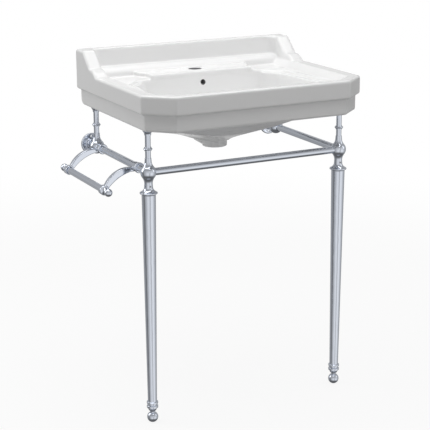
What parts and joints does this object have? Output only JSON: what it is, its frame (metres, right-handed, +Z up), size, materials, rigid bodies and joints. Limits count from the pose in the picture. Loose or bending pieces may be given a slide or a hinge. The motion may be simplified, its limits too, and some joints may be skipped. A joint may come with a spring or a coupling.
{
  "type": "console sink with legs",
  "caption": "Ceramic console washbasin with a low backsplash on a chrome tube frame with tapered front legs, wall stays and a side towel bar.",
  "frame": {"origin": "midway between the two wall bolt holes, on the basin's back face, 790 mm above the floor", "axes": "+X to the right seen from the room, +Y towards the wall (the wall is Y = 0), +Z up"},
  "size_m": [0.6765, 0.468, 0.907],
  "materials": {
    "china": "glossy white glaze",
    "chrome": "polished",
    "steel": "machined thread",
    "rubber": "matt black"
  },
  "bodies": {
    "stand": {"basin": "china", "front_left_hub": "chrome", "front_left_post": "chrome", "front_left_bead": "chrome", "front_left_pad": "chrome", "front_left_cushion": "rubber", "front_right_hub": "chrome", "front_right_post": "chrome", "front_right_bead": "chrome", "front_right_pad": "chrome", "front_right_cushion": "rubber", "rear_left_hub": "chrome", "rear_left_post": "chrome", "rear_left_bead": "chrome", "rear_left_pad": "chrome", "rear_left_cushion": "rubber", "rear_right_hub": "chrome", "rear_right_post": "chrome", "rear_right_bead": "chrome", "rear_right_pad": "chrome", "rear_right_cushion": "rubber", "front_rail": "chrome", "left_rail": "chrome", "right_rail": "chrome", "left_wall_stub": "chrome", "left_wall_flange": "chrome", "left_leg_collar": "chrome", "left_leg": "chrome", "left_ankle": "chrome", "right_wall_stub": "chrome", "right_wall_flange": "chrome", "right_leg_collar": "chrome", "right_leg": "chrome", "right_ankle": "chrome", "rear_towel_arm": "chrome", "rear_sleeve_ring": "chrome", "front_towel_arm": "chrome", "front_sleeve_ring": "chrome", "towel_bar": "chrome", "rear_towel_knob": "chrome", "front_towel_knob": "chrome", "set_screws": "steel"},
    "left_thread": {"left_foot_stud": "steel"},
    "left_glide": {"left_foot": "chrome"},
    "right_thread": {"right_foot_stud": "steel"},
    "right_glide": {"right_foot": "chrome"}
  },
  "joints": [
    {"name": "left_foot_travel", "type": "slide", "parent": "stand", "child": "left_thread", "axis": [0, 0, -1], "range_m": [-0.0027, 0.015]},
    {"name": "left_foot_turn", "type": "hinge", "parent": "left_thread", "child": "left_glide", "pos_m": [-0.2703, -0.37, -0.775], "axis": [0, 0, -1], "range_deg": [-650, 3602]},
    {"name": "right_foot_travel", "type": "slide", "parent": "stand", "child": "right_thread", "axis": [0, 0, -1], "range_m": [-0.0027, 0.015]},
    {"name": "right_foot_turn", "type": "hinge", "parent": "right_thread", "child": "right_glide", "pos_m": [0.2703, -0.37, -0.775], "axis": [0, 0, -1], "range_deg": [-650, 3602]}
  ],
  "couplings": [
    {"joint": "left_foot_turn", "follows": "left_foot_travel", "rad_per_m": 4188.8},
    {"joint": "right_foot_turn", "follows": "right_foot_travel", "rad_per_m": 4188.8}
  ]
}
